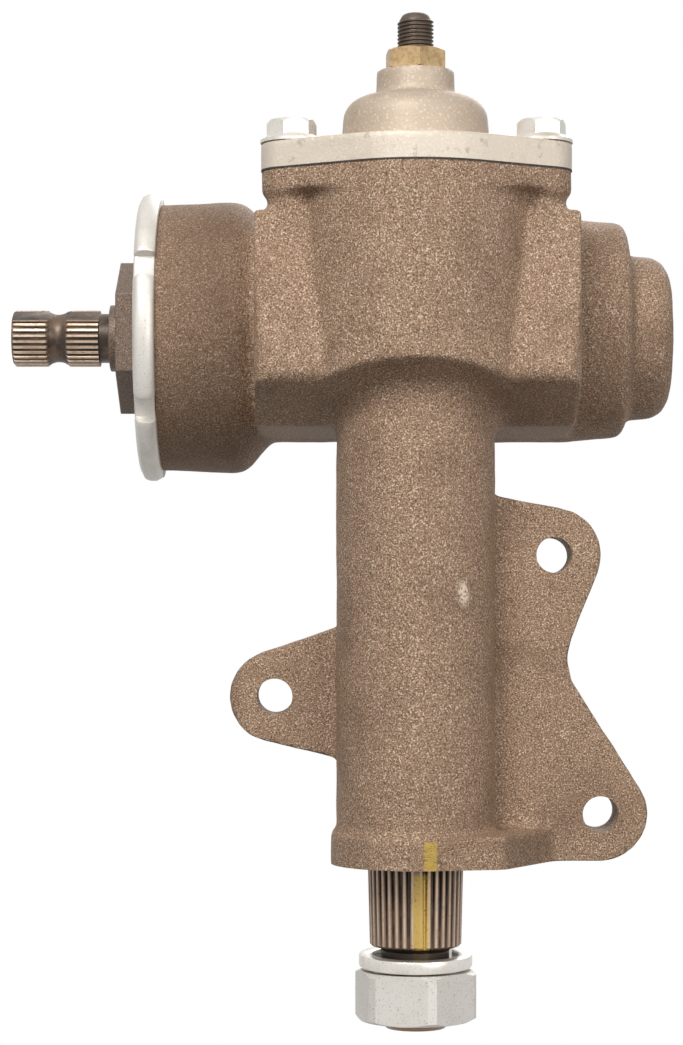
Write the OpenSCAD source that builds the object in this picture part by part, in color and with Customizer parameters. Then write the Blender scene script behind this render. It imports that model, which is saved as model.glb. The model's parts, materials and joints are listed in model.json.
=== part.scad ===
// Manual recirculating-ball steering gearbox, in millimetres.
// Origin on the pitman shaft axis at the lower face of the housing.
// Z up along the pitman shaft, input shaft towards -X, frame side towards +Y.

/* [Gear set] */
// Worm turns for one turn of the pitman shaft
steering_ratio = 20; // [19:0.25:21]
// Advance of the ball nut for one turn of the worm
worm_lead = 9.525; // [9:0.025:10]
// Swing of the pitman shaft each way from straight ahead
swing_angle = 33; // [28:1:34]
// Diameter of a recirculating ball
ball_d = 7.144; // [6.35:0.001:7.3]
// Radius of the ball circle round the worm axis
ball_circle_r = 15; // [14.5:0.1:16]
// Module of the rack and sector teeth
tooth_module = 4; // [3.6:0.1:4.1]
// Pressure angle of the rack and sector teeth
pressure_angle = 25; // [22:1:27]
// Play between the rack and sector teeth along the pitch line
backlash = 0.2; // [0.1:0.05:0.4]
// Length of the ball nut
nut_length = 62; // [58:1:66]
// Face width of the sector teeth
sector_face = 28; // [24:1:32]
// Diameter of a worm bearing ball
bearing_ball_d = 6.35; // [5.5:0.05:6.6]
// Balls in each worm bearing
bearing_ball_count = 11; // [9:1:11]

/* [Housing] */
// Height of the worm axis over the lower face
worm_height = 178.5; // [174:0.5:184]
// Outside diameter of the pitman shaft tube
tube_od = 52.8; // [50:0.2:56]
// Wall of the sector chamber
chamber_wall = 5; // [4:0.25:6]
// Outside diameter of the barrel round the worm adjuster
barrel_od = 93; // [91:0.5:97]
// Reach of the barrel past the ball nut chamber
barrel_reach = 37; // [35:0.5:40]
// Outside diameter of the lower bearing boss
boss_od = 58; // [56:0.5:62]
// Diameter of the rim round the pitman seal
rim_od = 56.4; // [55:0.2:60]
// Height of that rim
rim_height = 10; // [9:0.25:11]

/* [Mounting ears] */
// Diameter of the three frame bolt holes
mount_hole_d = 11.9; // [11:0.1:13]
// Radius of the left ear lobe
left_lobe_r = 15.4; // [14:0.2:17]
// Radius of the two right ear lobes
right_lobe_r = 16; // [15:0.2:17]
// Thickness of the ear plates
ear_thickness = 14; // [12:0.5:16]

/* [Side cover] */
// Thickness of the cover plate
cover_plate = 8.7; // [8:0.1:10]
// Thickness of the gasket
gasket_thickness = 0.5; // [0.4:0.1:1]
// Diameter of the cover bolts
cover_bolt_d = 9.5; // [8:0.1:10]
// Across the flats of the cover bolt heads
cover_bolt_af = 14.3; // [13:0.1:15]
// Diameter of the lash adjuster thread
lash_screw_d = 12; // [10:0.1:12.7]
// Across the flats of the lash lock nut
lash_nut_af = 18.2; // [17:0.1:20]

/* [Input end] */
// Diameter over the input serrations
input_d = 19.8; // [19:0.1:21]
// Serrations round the input end
input_teeth = 30; // [24:1:36]
// Diameter of the plain input shank
input_shank_d = 17.2; // [16:0.1:17.6]
// Diameter of the adjuster plug thread
plug_d = 72; // [70:0.2:73]
// Across the flats of the adjuster plug hexagon
plug_af = 46; // [44:0.5:50]
// Outside diameter of the lock ring
lock_ring_od = 100; // [99:0.5:104]

/* [Pitman shaft] */
// Diameter of the pitman shaft in its bushings
pitman_d = 31.7; // [30.5:0.1:32.4]
// Diameter of the upper journal in the side cover
journal_d = 25.4; // [24.5:0.1:26]
// Length of the tapered spline below the housing
spline_length = 27.1; // [25:0.1:32]
// Diameter of the pitman nut thread
pitman_thread_d = 22.2; // [20:0.1:23]
// Across the flats of the pitman nut
pitman_nut_af = 36.5; // [35:0.1:38]
// Outside diameter of the lock washer
lock_washer_od = 37.4; // [35:0.1:38]

/* [Hidden] */
$fn = 64;

// Fits
running_fit = 0.05;
thread_fit = 0.1;
ball_fit = 0.3;
// Overlap that lets a cut pass through a face
cut_over = 1;

// Rack and sector
pitch_r = steering_ratio * worm_lead / (2 * PI);
tooth_pitch = PI * tooth_module;
addendum = 0.8 * tooth_module;
dedendum = 1.05 * tooth_module;
base_r = pitch_r * cos(pressure_angle);
sector_tip_r = pitch_r + addendum;
sector_root_r = pitch_r - dedendum;
sector_hub_r = 20;
tooth_half = (tooth_pitch / 2 - backlash / 2) / 2;
tooth_half_angle = tooth_half / pitch_r * 180 / PI;
tooth_step_angle = tooth_pitch / pitch_r * 180 / PI;
flank_steps = 6;
travel = pitch_r * swing_angle * PI / 180;

// Ball nut
nut_groove_r = ball_d / 2 + 0.6;
nut_wall = 2.1;
nut_half = ball_circle_r + nut_groove_r + nut_wall;
nut_corner_r = nut_half + 4.5;
nut_bore_r = ball_circle_r + 0.7;
rack_width = 30;
worm_y = pitch_r + nut_half + dedendum;
chamber_r = sqrt(pow(nut_half + dedendum + addendum, 2) + pow(rack_width / 2, 2)) + 1.4;
chamber_end = nut_length / 2 + travel + 1.5;

// Ball circuits: one and a half turns each, two circuits two leads apart
circuit_turns = 1.5;
circuit_gap_turns = 3;
circuit_start = -(circuit_gap_turns + circuit_turns) / 2 * worm_lead;
guide_hole_r = ball_d / 2 + 0.3;
guide_wall = 0.8;
guide_r = guide_hole_r + guide_wall;
guide_foot = ball_circle_r - 2.5;
guide_bend_r = guide_r + 3.4;
guide_lift = nut_half + guide_r + 0.3;
bend_relief = 1;
spot_face = 0.9;
guide_dx = circuit_turns * worm_lead;
guide_span = sqrt(pow(guide_dx, 2) + pow(2 * ball_circle_r, 2));
guide_skew = atan2(guide_dx, 2 * ball_circle_r);
guide_spacing = circuit_gap_turns * worm_lead * cos(guide_skew);
groove_path = circuit_turns * sqrt(pow(2 * PI * ball_circle_r, 2) + pow(worm_lead, 2));
guide_leg = guide_lift - guide_bend_r;
bend_path = guide_bend_r * PI / 2;
bridge_path = guide_span - 2 * guide_bend_r;
guide_path = 2 * guide_leg + 2 * bend_path + bridge_path;
circuit_balls = floor((groove_path + guide_path) / (ball_d * 1.075));
ball_step = (groove_path + guide_path) / circuit_balls;
clamp_thickness = 1;
clamp_screw_r = 2;
clamp_screw_head_r = 3.2;

// Worm thread
groove_r = ball_d / 2 + 0.35;
land_r = ball_circle_r - 0.7;
worm_core_r = ball_circle_r - groove_r - 0.5;
thread_half = -circuit_start + travel + ball_d / 2;
worm_turns = ceil(2 * thread_half / worm_lead);
thread_end = worm_turns * worm_lead / 2;
turn_steps = 20;
groove_steps = 6;
tube_sides = 8;

// Worm bearings
bearing_r = 13.5;
bearing_ball_r = bearing_ball_d / 2;
race_r = bearing_ball_r + ball_fit;
race_shoulder = 1.5;
bearing_shaft_r = bearing_r - bearing_ball_r + 0.1;
cone_r = bearing_r + 0.5;
cage_inner_r = cone_r + 0.4;
cage_outer_r = cage_inner_r + 1.3;
cage_end = bearing_ball_r + 1.4;
cup_r = bearing_r + race_r + 2.4;
cup_inner_r = cage_outer_r + 0.4;
cup_lip_r = bearing_r - race_shoulder;
cup_back = 6;
cup_front = 3;
plug_face = -(chamber_end + 14);
upper_ball_x = plug_face - 5;
lower_ball_x = chamber_end + 27;

// Worm barrel, adjuster plug and lock ring
plug_r = plug_d / 2;
barrel_r = barrel_od / 2;
barrel_face = -(chamber_end + barrel_reach);
ring_thickness = 7.3;
ring_face = barrel_face - ring_thickness;
plug_rim = ring_face - 0.7;
plug_hex = plug_rim - 7;
plug_nose = plug_hex - 3.4;
plug_bore_r = input_shank_d / 2 + 0.4;
plug_nose_r = plug_bore_r + 2.6;
seal_length = 6;
seal_pocket = plug_hex + 1.5;
seal_r = input_shank_d / 2 + 5;
serration_inner = plug_nose - 3.7;
input_groove = plug_nose - 18.1;
groove_half = 4;
groove_depth = 1.7;
groove_arc_r = (groove_half * groove_half + groove_depth * groove_depth) / (2 * groove_depth);
groove_arc_angle = asin(groove_half / groove_arc_r);
input_flat = 1.4;
input_end = plug_nose - 33.9;
ring_notches = 6;
notch_width = 9;
notch_depth = 4;
notch_elevation = 25.4;

// Lower bearing boss
step_end = chamber_end + 24.6;
boss_end = step_end + 15.1;
boss_r = boss_od / 2;
step_lift = 2.6;
step_r = chamber_r + 2.9 + step_lift;
step_round = 4.5;

// Sector chamber and box
chamber_ir = sector_tip_r + 1.5;
chamber_or = chamber_ir + chamber_wall;
sector_bottom = worm_height - sector_face / 2;
sector_top = worm_height + sector_face / 2;
floor_z = sector_bottom - 1.5;
deep_floor = sector_bottom + 11;
housing_top = worm_height + 47.5;
flange_drop = 7.5;
boss_taper = 9;
box_left = -(chamber_end + 3);
box_right = chamber_end + 3.5;
box_corner = 7;
pad_front = -27;
pad_lean = 8.5;
box_top = worm_height + 35;
underside_slope = 0.45;
underside_mid = worm_height - 33;
edge_round = 2.5;
tube_r = tube_od / 2;
rim_r = rim_od / 2;
bush_wall = 2.3;
bush_r = pitman_d / 2 + running_fit + bush_wall;
bush_length = 30;
pitman_seal_r = bush_r + 3.2;
pitman_seal_drop = 1.2;

// Ears, in the plane of the frame
ear_front = 6;
frame_face = tube_r + 1.6;
left_hole = [-46.7, 54.7];
upper_hole = [46.3, 101.8];
lower_hole = [61.7, 15.6];
ear_root = 15;
shelf_corner = [25.5, -18.7, 4.5];
shelf_end = [lower_hole[0] - 13, ear_front + 11, 3.5];
waist = [[52, 73], [50.9, 67], [52.4, 60], [57.1, 52.6]];
flange_top = 124;

// Side cover
gasket_top = housing_top + gasket_thickness;
cover_top = gasket_top + cover_plate;
bolt_circle_r = chamber_ir + cover_bolt_d / 2 + 2.7;
bolt_angles = [-17, 90, 197];
bolt_boss_r = 10;
bolt_depth = 12.5;
bolt_head = 7.5;
bolt_flange_r = 10.2;
bolt_flange = 2;
dome_r = 24.5;
dome_low = 9.5;
dome_top = cover_top + 17.4;
hub_r = 12.8;
hub_top = dome_top + 8.4;
cover_nose = sector_top + 6.5;
cover_nose_r = journal_d / 2 + 7;
cover_bush_r = journal_d / 2 + running_fit + 2.3;
journal_top = cover_top + 10.8;
bush_top = journal_top + 1;

// Lash adjuster
lash_r = lash_screw_d / 2;
lash_head_r = 8.2;
lash_head = 4;
lash_neck_r = 4.8;
slot_play = 0.3;
slot_neck = 5;
slot_floor = journal_top - slot_neck - lash_head - 1.7;
shim_thickness = 1;
lash_top = hub_top + 19;
lash_nut_height = 7;

// Pitman shaft end
spline_tip_r = pitman_d / 2 - 0.05;
spline_small_r = spline_tip_r - 0.7;
spline_root_r = spline_tip_r - 1.2;
spline_teeth = 36;
spline_blank = 9;
washer_thickness = 4.3;
washer_top = -spline_length - 3.7;
washer_bottom = washer_top - washer_thickness;
washer_gap = 3;
pitman_nut_height = 16.4;
pitman_nut_bottom = washer_bottom - pitman_nut_height;
pitman_end = pitman_nut_bottom - 2.6;
pitman_thread_r = pitman_thread_d / 2;

// A point of the plane at a radius and an angle
function polar(r, a) = [r * cos(a), r * sin(a)];

// Direction of the outward normal shared by two circles [x, y, r]
function tangent_angle(a, b) =
    let (d = [b[0] - a[0], b[1] - a[1]])
    atan2(d[1], d[0]) - acos((a[2] - b[2]) / norm(d));

// Outline of a tight band round circles given anticlockwise
function band(circles, steps = 8) = [
    for (i = [0 : len(circles) - 1])
        let (
            c = circles[i],
            before = circles[(i + len(circles) - 1) % len(circles)],
            after = circles[(i + 1) % len(circles)],
            a = tangent_angle(before, c),
            turn = tangent_angle(c, after) - a,
            sweep = turn - 360 * floor(turn / 360)
        )
        for (k = [0 : steps])
            [c[0], c[1]] + polar(c[2], a + sweep * k / steps)
];

// Points of an arc about a centre
function arc(centre, r, from, to, steps = 8) = [
    for (k = [0 : steps]) centre + polar(r, from + (to - from) * k / steps)
];

// Involute of an angle, in degrees
function involute(a) = tan(a) * 180 / PI - a;

// Half angle of a sector tooth at a radius
function flank_angle(r) = tooth_half_angle + involute(pressure_angle)
    - involute(acos(min(1, base_r / r)));

// Radii at which a flank is drawn
function flank_radius(k) = let (r = max(base_r, sector_root_r))
    r + (sector_tip_r - r) * k / flank_steps;

// Point on the worm helix, about the worm axis
function helix_point(t, along, r) = [
    circuit_start + worm_lead * (t - 90) / 360 + along, r * cos(t), r * sin(t)
];

// Point of a ball circuit after a distance, about the worm axis
function circuit_point(s) =
    s < groove_path ? helix_point(90 + 360 * circuit_turns * s / groove_path, 0, ball_circle_r)
    : let (q = guide_point(s - groove_path))
      [circuit_start + guide_dx * (1 - q[0] / guide_span), q[1],
       -ball_circle_r + 2 * ball_circle_r * q[0] / guide_span];

// Point of a return guide: along the bridge, away from the nut
function guide_point(s) =
    s < guide_leg ? [0, s]
    : s < guide_leg + bend_path
        ? [guide_bend_r, guide_leg]
            + polar(guide_bend_r, 180 - 90 * (s - guide_leg) / bend_path)
    : s < guide_leg + bend_path + bridge_path
        ? [guide_bend_r + s - guide_leg - bend_path, guide_lift]
    : s < guide_leg + 2 * bend_path + bridge_path
        ? [guide_span - guide_bend_r, guide_leg]
            + polar(guide_bend_r, 90 - 90 * (s - guide_leg - bend_path - bridge_path) / bend_path)
    : [guide_span, guide_path - s];

// Cover outline circles: the chamber between three bolt bosses
cover_circles = [
    for (a = bolt_angles) each [
        [0, 0, chamber_or + 0.4],
        concat(polar(bolt_circle_r, a), [bolt_boss_r])
    ]
];

module cover_outline() polygon(band(cover_circles));

module at_bolts() for (a = bolt_angles) translate(polar(bolt_circle_r, a)) children();

// Children along the worm axis: local Z is +X
module on_worm(x) translate([x, worm_y, worm_height]) rotate([0, 90, 0]) children();

module worm_rod(from, to, r) on_worm(from) cylinder(h = to - from, r = r);

// A flat shape in X and Z given a thickness in Y
module in_frame_plane(from, to) translate([0, to, 0]) rotate([90, 0, 0])
    linear_extrude(height = to - from) children();

// Cast housing: tube, ears, box, barrel and bearing boss less the bores
module gear_housing() color([0.42, 0.36, 0.31]) difference() {
    union() {
        cylinder(h = worm_height, r = tube_r);
        cylinder(h = rim_height, r = rim_r);
        linear_extrude(height = rim_height + 1) polygon(band([
            [0, 0, rim_r - 0.4], shelf_corner, shelf_end]));
        ear_plates();
        sector_chamber();
        housing_box();
        housing_flange();
        worm_barrel();
    }
    housing_bores();
}

module ear_plates() {
    in_frame_plane(ear_front, ear_front + ear_thickness) {
        polygon(concat(
            [[ear_root, flange_top]],
            arc(upper_hole, right_lobe_r, 79, -21),
            waist,
            arc(lower_hole, right_lobe_r, 33, -90),
            [[ear_root, lower_hole[1] - right_lobe_r]]));
        polygon(band([
            concat(left_hole, [left_lobe_r]), [-20, 33.5, 1], [-20, 79, 1]]));
    }
    in_frame_plane(ear_front + 1, frame_face)
        for (p = [left_hole, upper_hole, lower_hole]) translate(p) circle(r = left_lobe_r - 1);
}

// Height of the sloping underside of the casting
function underside_z(y) = underside_mid - underside_slope * y;

// Section of the casting seen along the worm: a leaning front over the underside
module cast_section(front, lean) rotate([90, 0, 90]) translate([0, 0, box_left])
    linear_extrude(height = box_right - box_left) polygon([
        [front, underside_z(front) + edge_round],
        [front + edge_round / 2, underside_z(front + edge_round / 2) + edge_round / 4],
        [front + edge_round, underside_z(front + edge_round)],
        [3, underside_z(3)], [worm_y, worm_height + step_lift - step_r + 0.5],
        [worm_y, box_top], [front + lean, box_top]]);

// Round wall of the sector chamber between the two pads
module sector_chamber() intersection() {
    translate([0, 0, underside_z(0)]) cylinder(h = housing_top - underside_z(0), r = chamber_or);
    union() {
        cast_section(-chamber_or - 2, 0);
        translate([-chamber_or - 1, -chamber_or - 1, worm_height])
            cube([2 * chamber_or + 2, 2 * chamber_or + 2, housing_top - worm_height]);
    }
}

// Box over the ball nut, its front corners rounded in plan
module housing_box() intersection() {
    cast_section(pad_front, pad_lean);
    linear_extrude(height = housing_top) polygon(concat(
        arc([box_left + box_corner, pad_front + box_corner], box_corner, 180, 270),
        arc([box_right - box_corner, pad_front + box_corner], box_corner, 270, 360),
        [[box_right, worm_y + 1], [box_left, worm_y + 1]]));
}

// Cover flange with a tapered boss under each bolt
module housing_flange() {
    translate([0, 0, housing_top - flange_drop]) linear_extrude(height = flange_drop) cover_outline();
    at_bolts() translate([0, 0, housing_top - flange_drop - boss_taper])
        cylinder(h = boss_taper + 0.5, r1 = bolt_boss_r - 5, r2 = bolt_boss_r - 0.6);
    at_bolts() translate([0, 0, worm_height + 20])
        cylinder(h = housing_top - worm_height - 21, r = bolt_boss_r - 2);
}

// Barrel, nut chamber and lower bearing boss along the worm
module worm_barrel() {
    on_worm(0) rotate_extrude() polygon([
        [0, barrel_face], [barrel_r, barrel_face], [barrel_r + 1, box_left - 9],
        [barrel_r + 0.4, box_left - 6], [barrel_r - 1.4, box_left - 3], [barrel_r - 5, box_left],
        [barrel_r - 12, box_left + 6], [0, box_left + 6]]);
    translate([0, 0, step_lift]) on_worm(0) rotate_extrude() polygon(concat(
        [[0, box_left], [step_r, box_left], [step_r, box_right]],
        arc([step_r - 1.5 - step_round, step_end - step_round], step_round, 0, 90),
        [[0, step_end]]));
    on_worm(0) rotate_extrude() polygon([
        [0, step_end - 6], [boss_r + 1, step_end - 6], [boss_r, step_end + 1],
        [boss_r - 0.6, boss_end - 6], [boss_r - 2.6, boss_end - 2.4],
        [boss_r - 6.6, boss_end], [0, boss_end]]);
}

module housing_bores() {
    translate([0, 0, -cut_over]) cylinder(h = worm_height, r = bush_r);
    translate([0, 0, -cut_over]) cylinder(h = rim_height + cut_over, r = pitman_seal_r);
    translate([0, 0, floor_z]) cylinder(h = housing_top - floor_z, r = sector_hub_r + 3.5);
    translate([0, 0, deep_floor]) cylinder(h = housing_top - deep_floor + cut_over, r = chamber_ir);
    intersection() {
        translate([0, 0, floor_z]) cylinder(h = deep_floor - floor_z + cut_over, r = chamber_ir);
        translate([-chamber_ir - 1, -4, floor_z - 1])
            cube([2 * chamber_ir + 2, chamber_ir + 6, deep_floor - floor_z + 3]);
    }
    worm_rod(plug_face - 2, chamber_end, chamber_r);
    worm_rod(barrel_face - cut_over, plug_face, plug_r + thread_fit);
    worm_rod(chamber_end - cut_over, lower_ball_x + cup_back, cup_r);
    at_bolts() translate([0, 0, housing_top - bolt_depth - 1.5])
        cylinder(h = bolt_depth + 3, r = cover_bolt_d / 2 + thread_fit);
    in_frame_plane(ear_front - cut_over, frame_face + cut_over)
        for (p = [left_hole, upper_hole, lower_hole]) translate(p) circle(d = mount_hole_d);
}

// Cast side cover: bolted plate, dome and the hub the lash screw passes through
module side_cover() color([0.75, 0.71, 0.65]) difference() {
    union() {
        translate([0, 0, gasket_top]) linear_extrude(height = cover_plate) cover_outline();
        rotate_extrude() polygon(concat(
            [[0, cover_top - 1], [dome_r + 1.5, cover_top - 1], [dome_r, cover_top + 1.5],
             [dome_r - 0.6, cover_top + dome_low]],
            [for (a = [15 : 15 : 90]) [hub_r + 2 + (dome_r - hub_r - 2.6) * cos(a),
                cover_top + dome_low + (dome_top - cover_top - dome_low) * sin(a)]],
            [[hub_r + 0.2, dome_top + 0.4], [hub_r, hub_top], [0, hub_top]]));
        translate([0, 0, cover_nose]) cylinder(h = gasket_top - cover_nose + 1, r = cover_nose_r);
    }
    translate([0, 0, cover_nose - cut_over])
        cylinder(h = bush_top - cover_nose + cut_over, r = cover_bush_r);
    translate([0, 0, bush_top - cut_over])
        cylinder(h = hub_top - bush_top + 2 * cut_over, r = lash_r + thread_fit);
    at_bolts() translate([0, 0, gasket_top - cut_over])
        cylinder(h = cover_plate + 2 * cut_over, r = cover_bolt_d / 2 + 0.4);
}

module side_cover_gasket() color([0.15, 0.14, 0.13]) translate([0, 0, housing_top])
    linear_extrude(height = gasket_thickness) difference() {
        cover_outline();
        circle(r = chamber_ir);
        at_bolts() circle(r = cover_bolt_d / 2 + 0.4);
    }

// Three flange bolts
module cover_bolts() color([0.80, 0.80, 0.78]) at_bolts() translate([0, 0, cover_top]) {
    translate([0, 0, -cover_plate - gasket_thickness - bolt_depth])
        cylinder(h = cover_plate + gasket_thickness + bolt_depth + 1, r = cover_bolt_d / 2);
    rotate_extrude() polygon([[0, 0], [bolt_flange_r, 0], [bolt_flange_r, 1],
        [cover_bolt_af / 2 + 0.4, bolt_flange + 0.6], [0, bolt_flange + 0.6]]);
    intersection() {
        cylinder(h = bolt_head, d = cover_bolt_af / cos(30), $fn = 6);
        cylinder(h = bolt_head, r1 = cover_bolt_af / 2 + 6, r2 = cover_bolt_af / 2);
    }
}

module side_cover_bushing() color([0.72, 0.55, 0.30]) translate([0, 0, cover_nose])
    difference() {
        cylinder(h = journal_top - cover_nose, r = cover_bush_r);
        translate([0, 0, -cut_over])
            cylinder(h = journal_top - cover_nose + 2 * cut_over, r = journal_d / 2 + running_fit);
    }

// Lash adjuster: T head in the pitman shaft slot, thread through the hub
module lash_adjuster_screw() color([0.16, 0.15, 0.14]) difference() {
    rotate_extrude() polygon([
        [0, slot_floor + shim_thickness + slot_play],
        [lash_head_r, slot_floor + shim_thickness + slot_play],
        [lash_head_r, slot_floor + shim_thickness + slot_play + lash_head],
        [lash_neck_r, slot_floor + shim_thickness + slot_play + lash_head],
        [lash_neck_r, bush_top + 0.6], [lash_r, bush_top + 1.6], [lash_r, lash_top - 2.2],
        [lash_r - 1, lash_top - 0.6], [lash_r - 2, lash_top], [0, lash_top]]);
    translate([0, 0, lash_top]) cube([1.6, 2 * lash_r + 2, 4.4], center = true);
}

module lash_shim() color([0.6, 0.6, 0.58]) translate([0, 0, slot_floor + slot_play])
    cylinder(h = shim_thickness, r = lash_head_r);

module hex_nut(af, height, bore_r) difference() {
    intersection() {
        cylinder(h = height, d = af / cos(30), $fn = 6);
        rotate_extrude() polygon([[0, 0], [af / 2, 0], [af / 2 + 2, 1.1],
            [af / 2 + 2, height - 1.1], [af / 2, height], [0, height]]);
    }
    translate([0, 0, -cut_over]) cylinder(h = height + 2 * cut_over, r = bore_r);
}

module lash_lock_nut() color([0.78, 0.66, 0.34]) translate([0, 0, hub_top]) rotate([0, 0, -83])
    hex_nut(lash_nut_af, lash_nut_height, lash_r + thread_fit);

// Adjuster plug: threaded body, hexagon and seal nose, bored for seal and bearing
module worm_bearing_adjuster() color([0.30, 0.26, 0.23]) difference() {
    union() {
        worm_rod(plug_rim, plug_face, plug_r);
        on_worm(plug_hex) cylinder(h = plug_rim - plug_hex + 1, d = plug_af / cos(30), $fn = 6);
        worm_rod(plug_nose, plug_hex + 1, plug_nose_r);
    }
    worm_rod(plug_nose - cut_over, plug_face, plug_bore_r);
    worm_rod(seal_pocket, upper_ball_x, seal_r);
    worm_rod(upper_ball_x - cup_back, plug_face + cut_over, cup_r);
}

// Lock ring with spanner notches
module adjuster_lock_ring() color([0.82, 0.82, 0.80]) on_worm(ring_face) difference() {
    rotate_extrude() polygon([
        [plug_r + thread_fit, 0], [lock_ring_od / 2 - 3, 0], [lock_ring_od / 2 - 0.6, 1.2],
        [lock_ring_od / 2, 3], [lock_ring_od / 2, ring_thickness - 2.2],
        [lock_ring_od / 2 - 1.2, ring_thickness], [plug_r + thread_fit, ring_thickness]]);
    for (k = [0 : ring_notches - 1])
        rotate([0, 0, 270 - notch_elevation - k * 360 / ring_notches])
            translate([lock_ring_od / 2 - notch_depth, -notch_width / 2, -cut_over])
                cube([notch_depth + 2, notch_width, ring_thickness + 2 * cut_over]);
}

module worm_seal() color([0.12, 0.11, 0.10]) on_worm(seal_pocket) difference() {
    cylinder(h = seal_length, r = seal_r);
    translate([0, 0, -cut_over])
        cylinder(h = seal_length + 2 * cut_over, r = input_shank_d / 2 + running_fit);
}

// Bearing cup: outer race open towards the ball row
module bearing_cup() rotate_extrude() difference() {
    polygon([[cup_lip_r, -cup_back], [cup_r, -cup_back], [cup_r, cup_front],
        [cup_inner_r, cup_front], [cup_inner_r, -race_shoulder], [cup_lip_r, -race_shoulder]]);
    translate([bearing_r, 0]) circle(r = race_r);
}

module upper_bearing_cup() color([0.66, 0.67, 0.68]) on_worm(upper_ball_x) bearing_cup();

module lower_bearing_cup() color([0.66, 0.67, 0.68]) on_worm(lower_ball_x)
    mirror([0, 0, 1]) bearing_cup();

module bearing_row() for (k = [0 : bearing_ball_count - 1])
    rotate([0, 0, k * 360 / bearing_ball_count]) translate([bearing_r, 0, 0]) children();

module bearing_balls() bearing_row() sphere(r = bearing_ball_r);

module ball_cage() difference() {
    rotate_extrude() translate([cage_inner_r, -0.5])
        square([cage_outer_r - cage_inner_r, cage_end + 0.5]);
    bearing_row() sphere(r = bearing_ball_r + 0.15);
}

module upper_bearing_balls() color([0.85, 0.86, 0.87]) on_worm(upper_ball_x) bearing_balls();

module upper_ball_cage() color([0.70, 0.58, 0.34]) on_worm(upper_ball_x) ball_cage();

module lower_bearing_balls() color([0.85, 0.86, 0.87]) on_worm(lower_ball_x) bearing_balls();

module lower_ball_cage() color([0.70, 0.58, 0.34]) on_worm(lower_ball_x)
    mirror([0, 0, 1]) ball_cage();

module pitman_bushings() color([0.72, 0.55, 0.30])
    for (z = [rim_height + 1, floor_z - bush_length - 0.5]) translate([0, 0, z]) difference() {
        cylinder(h = bush_length, r = bush_r);
        translate([0, 0, -cut_over])
            cylinder(h = bush_length + 2 * cut_over, r = pitman_d / 2 + running_fit);
    }

module pitman_seal() color([0.12, 0.11, 0.10]) translate([0, 0, pitman_seal_drop]) difference() {
    cylinder(h = rim_height - pitman_seal_drop, r = pitman_seal_r);
    translate([0, 0, -cut_over]) cylinder(h = rim_height + 2, r = pitman_d / 2 + running_fit);
}

// Serrated bar section with equal teeth, some of them left as wide blanks
module serrations(tip_r, root_r, teeth, blank) polygon([
    for (i = [0 : teeth - 1]) each (blank > 0 && i % blank == 0)
        ? [polar(tip_r, (i - 0.3) * 360 / teeth), polar(tip_r, (i + 0.3) * 360 / teeth)]
        : [polar(tip_r, (i - 0.32) * 360 / teeth), polar(root_r, (i - 0.1) * 360 / teeth),
           polar(root_r, (i + 0.1) * 360 / teeth), polar(tip_r, (i + 0.32) * 360 / teeth)]
]);

// Ball thread of the worm: one groove profile carried along the helix
groove_lip = asin((ball_circle_r - land_r) / groove_r);
thread_start = 90 - 360 * circuit_start / worm_lead - 180 * worm_turns;
profile_points = groove_steps + 1;
thread_sections = worm_turns * turn_steps;

function thread_index(i, k) = i * profile_points + k;

module worm_thread() {
    vertices = concat([
        for (i = [0 : thread_sections]) for (k = [0 : groove_steps])
            let (a = 180 + groove_lip + (180 - 2 * groove_lip) * k / groove_steps)
            helix_point(thread_start + i * 360 / turn_steps, groove_r * cos(a),
                ball_circle_r + groove_r * sin(a))],
        [[-thread_end, 0, 0], [thread_end, 0, 0]]);
    tip_a = len(vertices) - 2;
    tip_b = len(vertices) - 1;
    last = thread_sections;
    faces = concat(
        [for (i = [0 : last - 1]) for (k = [0 : groove_steps - 1]) each [
            [thread_index(i, k), thread_index(i + 1, k), thread_index(i + 1, k + 1)],
            [thread_index(i, k), thread_index(i + 1, k + 1), thread_index(i, k + 1)]]],
        [for (i = [0 : last - turn_steps - 1]) each [
            [thread_index(i, groove_steps), thread_index(i + 1, groove_steps),
             thread_index(i + 1 + turn_steps, 0)],
            [thread_index(i, groove_steps), thread_index(i + 1 + turn_steps, 0),
             thread_index(i + turn_steps, 0)]]],
        [for (i = [0 : turn_steps - 1]) [tip_a, thread_index(i + 1, 0), thread_index(i, 0)]],
        [for (k = [0 : groove_steps - 1]) [tip_a, thread_index(0, k), thread_index(0, k + 1)]],
        [[tip_a, thread_index(0, groove_steps), thread_index(turn_steps, 0)]],
        [for (i = [last - turn_steps : last - 1])
            [tip_b, thread_index(i, groove_steps), thread_index(i + 1, groove_steps)]],
        [for (k = [0 : groove_steps - 1]) [tip_b, thread_index(last, k + 1), thread_index(last, k)]],
        [[tip_b, thread_index(last, 0), thread_index(last - turn_steps, groove_steps)]]);
    translate([0, worm_y, worm_height]) polyhedron(points = vertices, faces = [for (f = faces) [f[2], f[1], f[0]]]);
}

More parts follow.
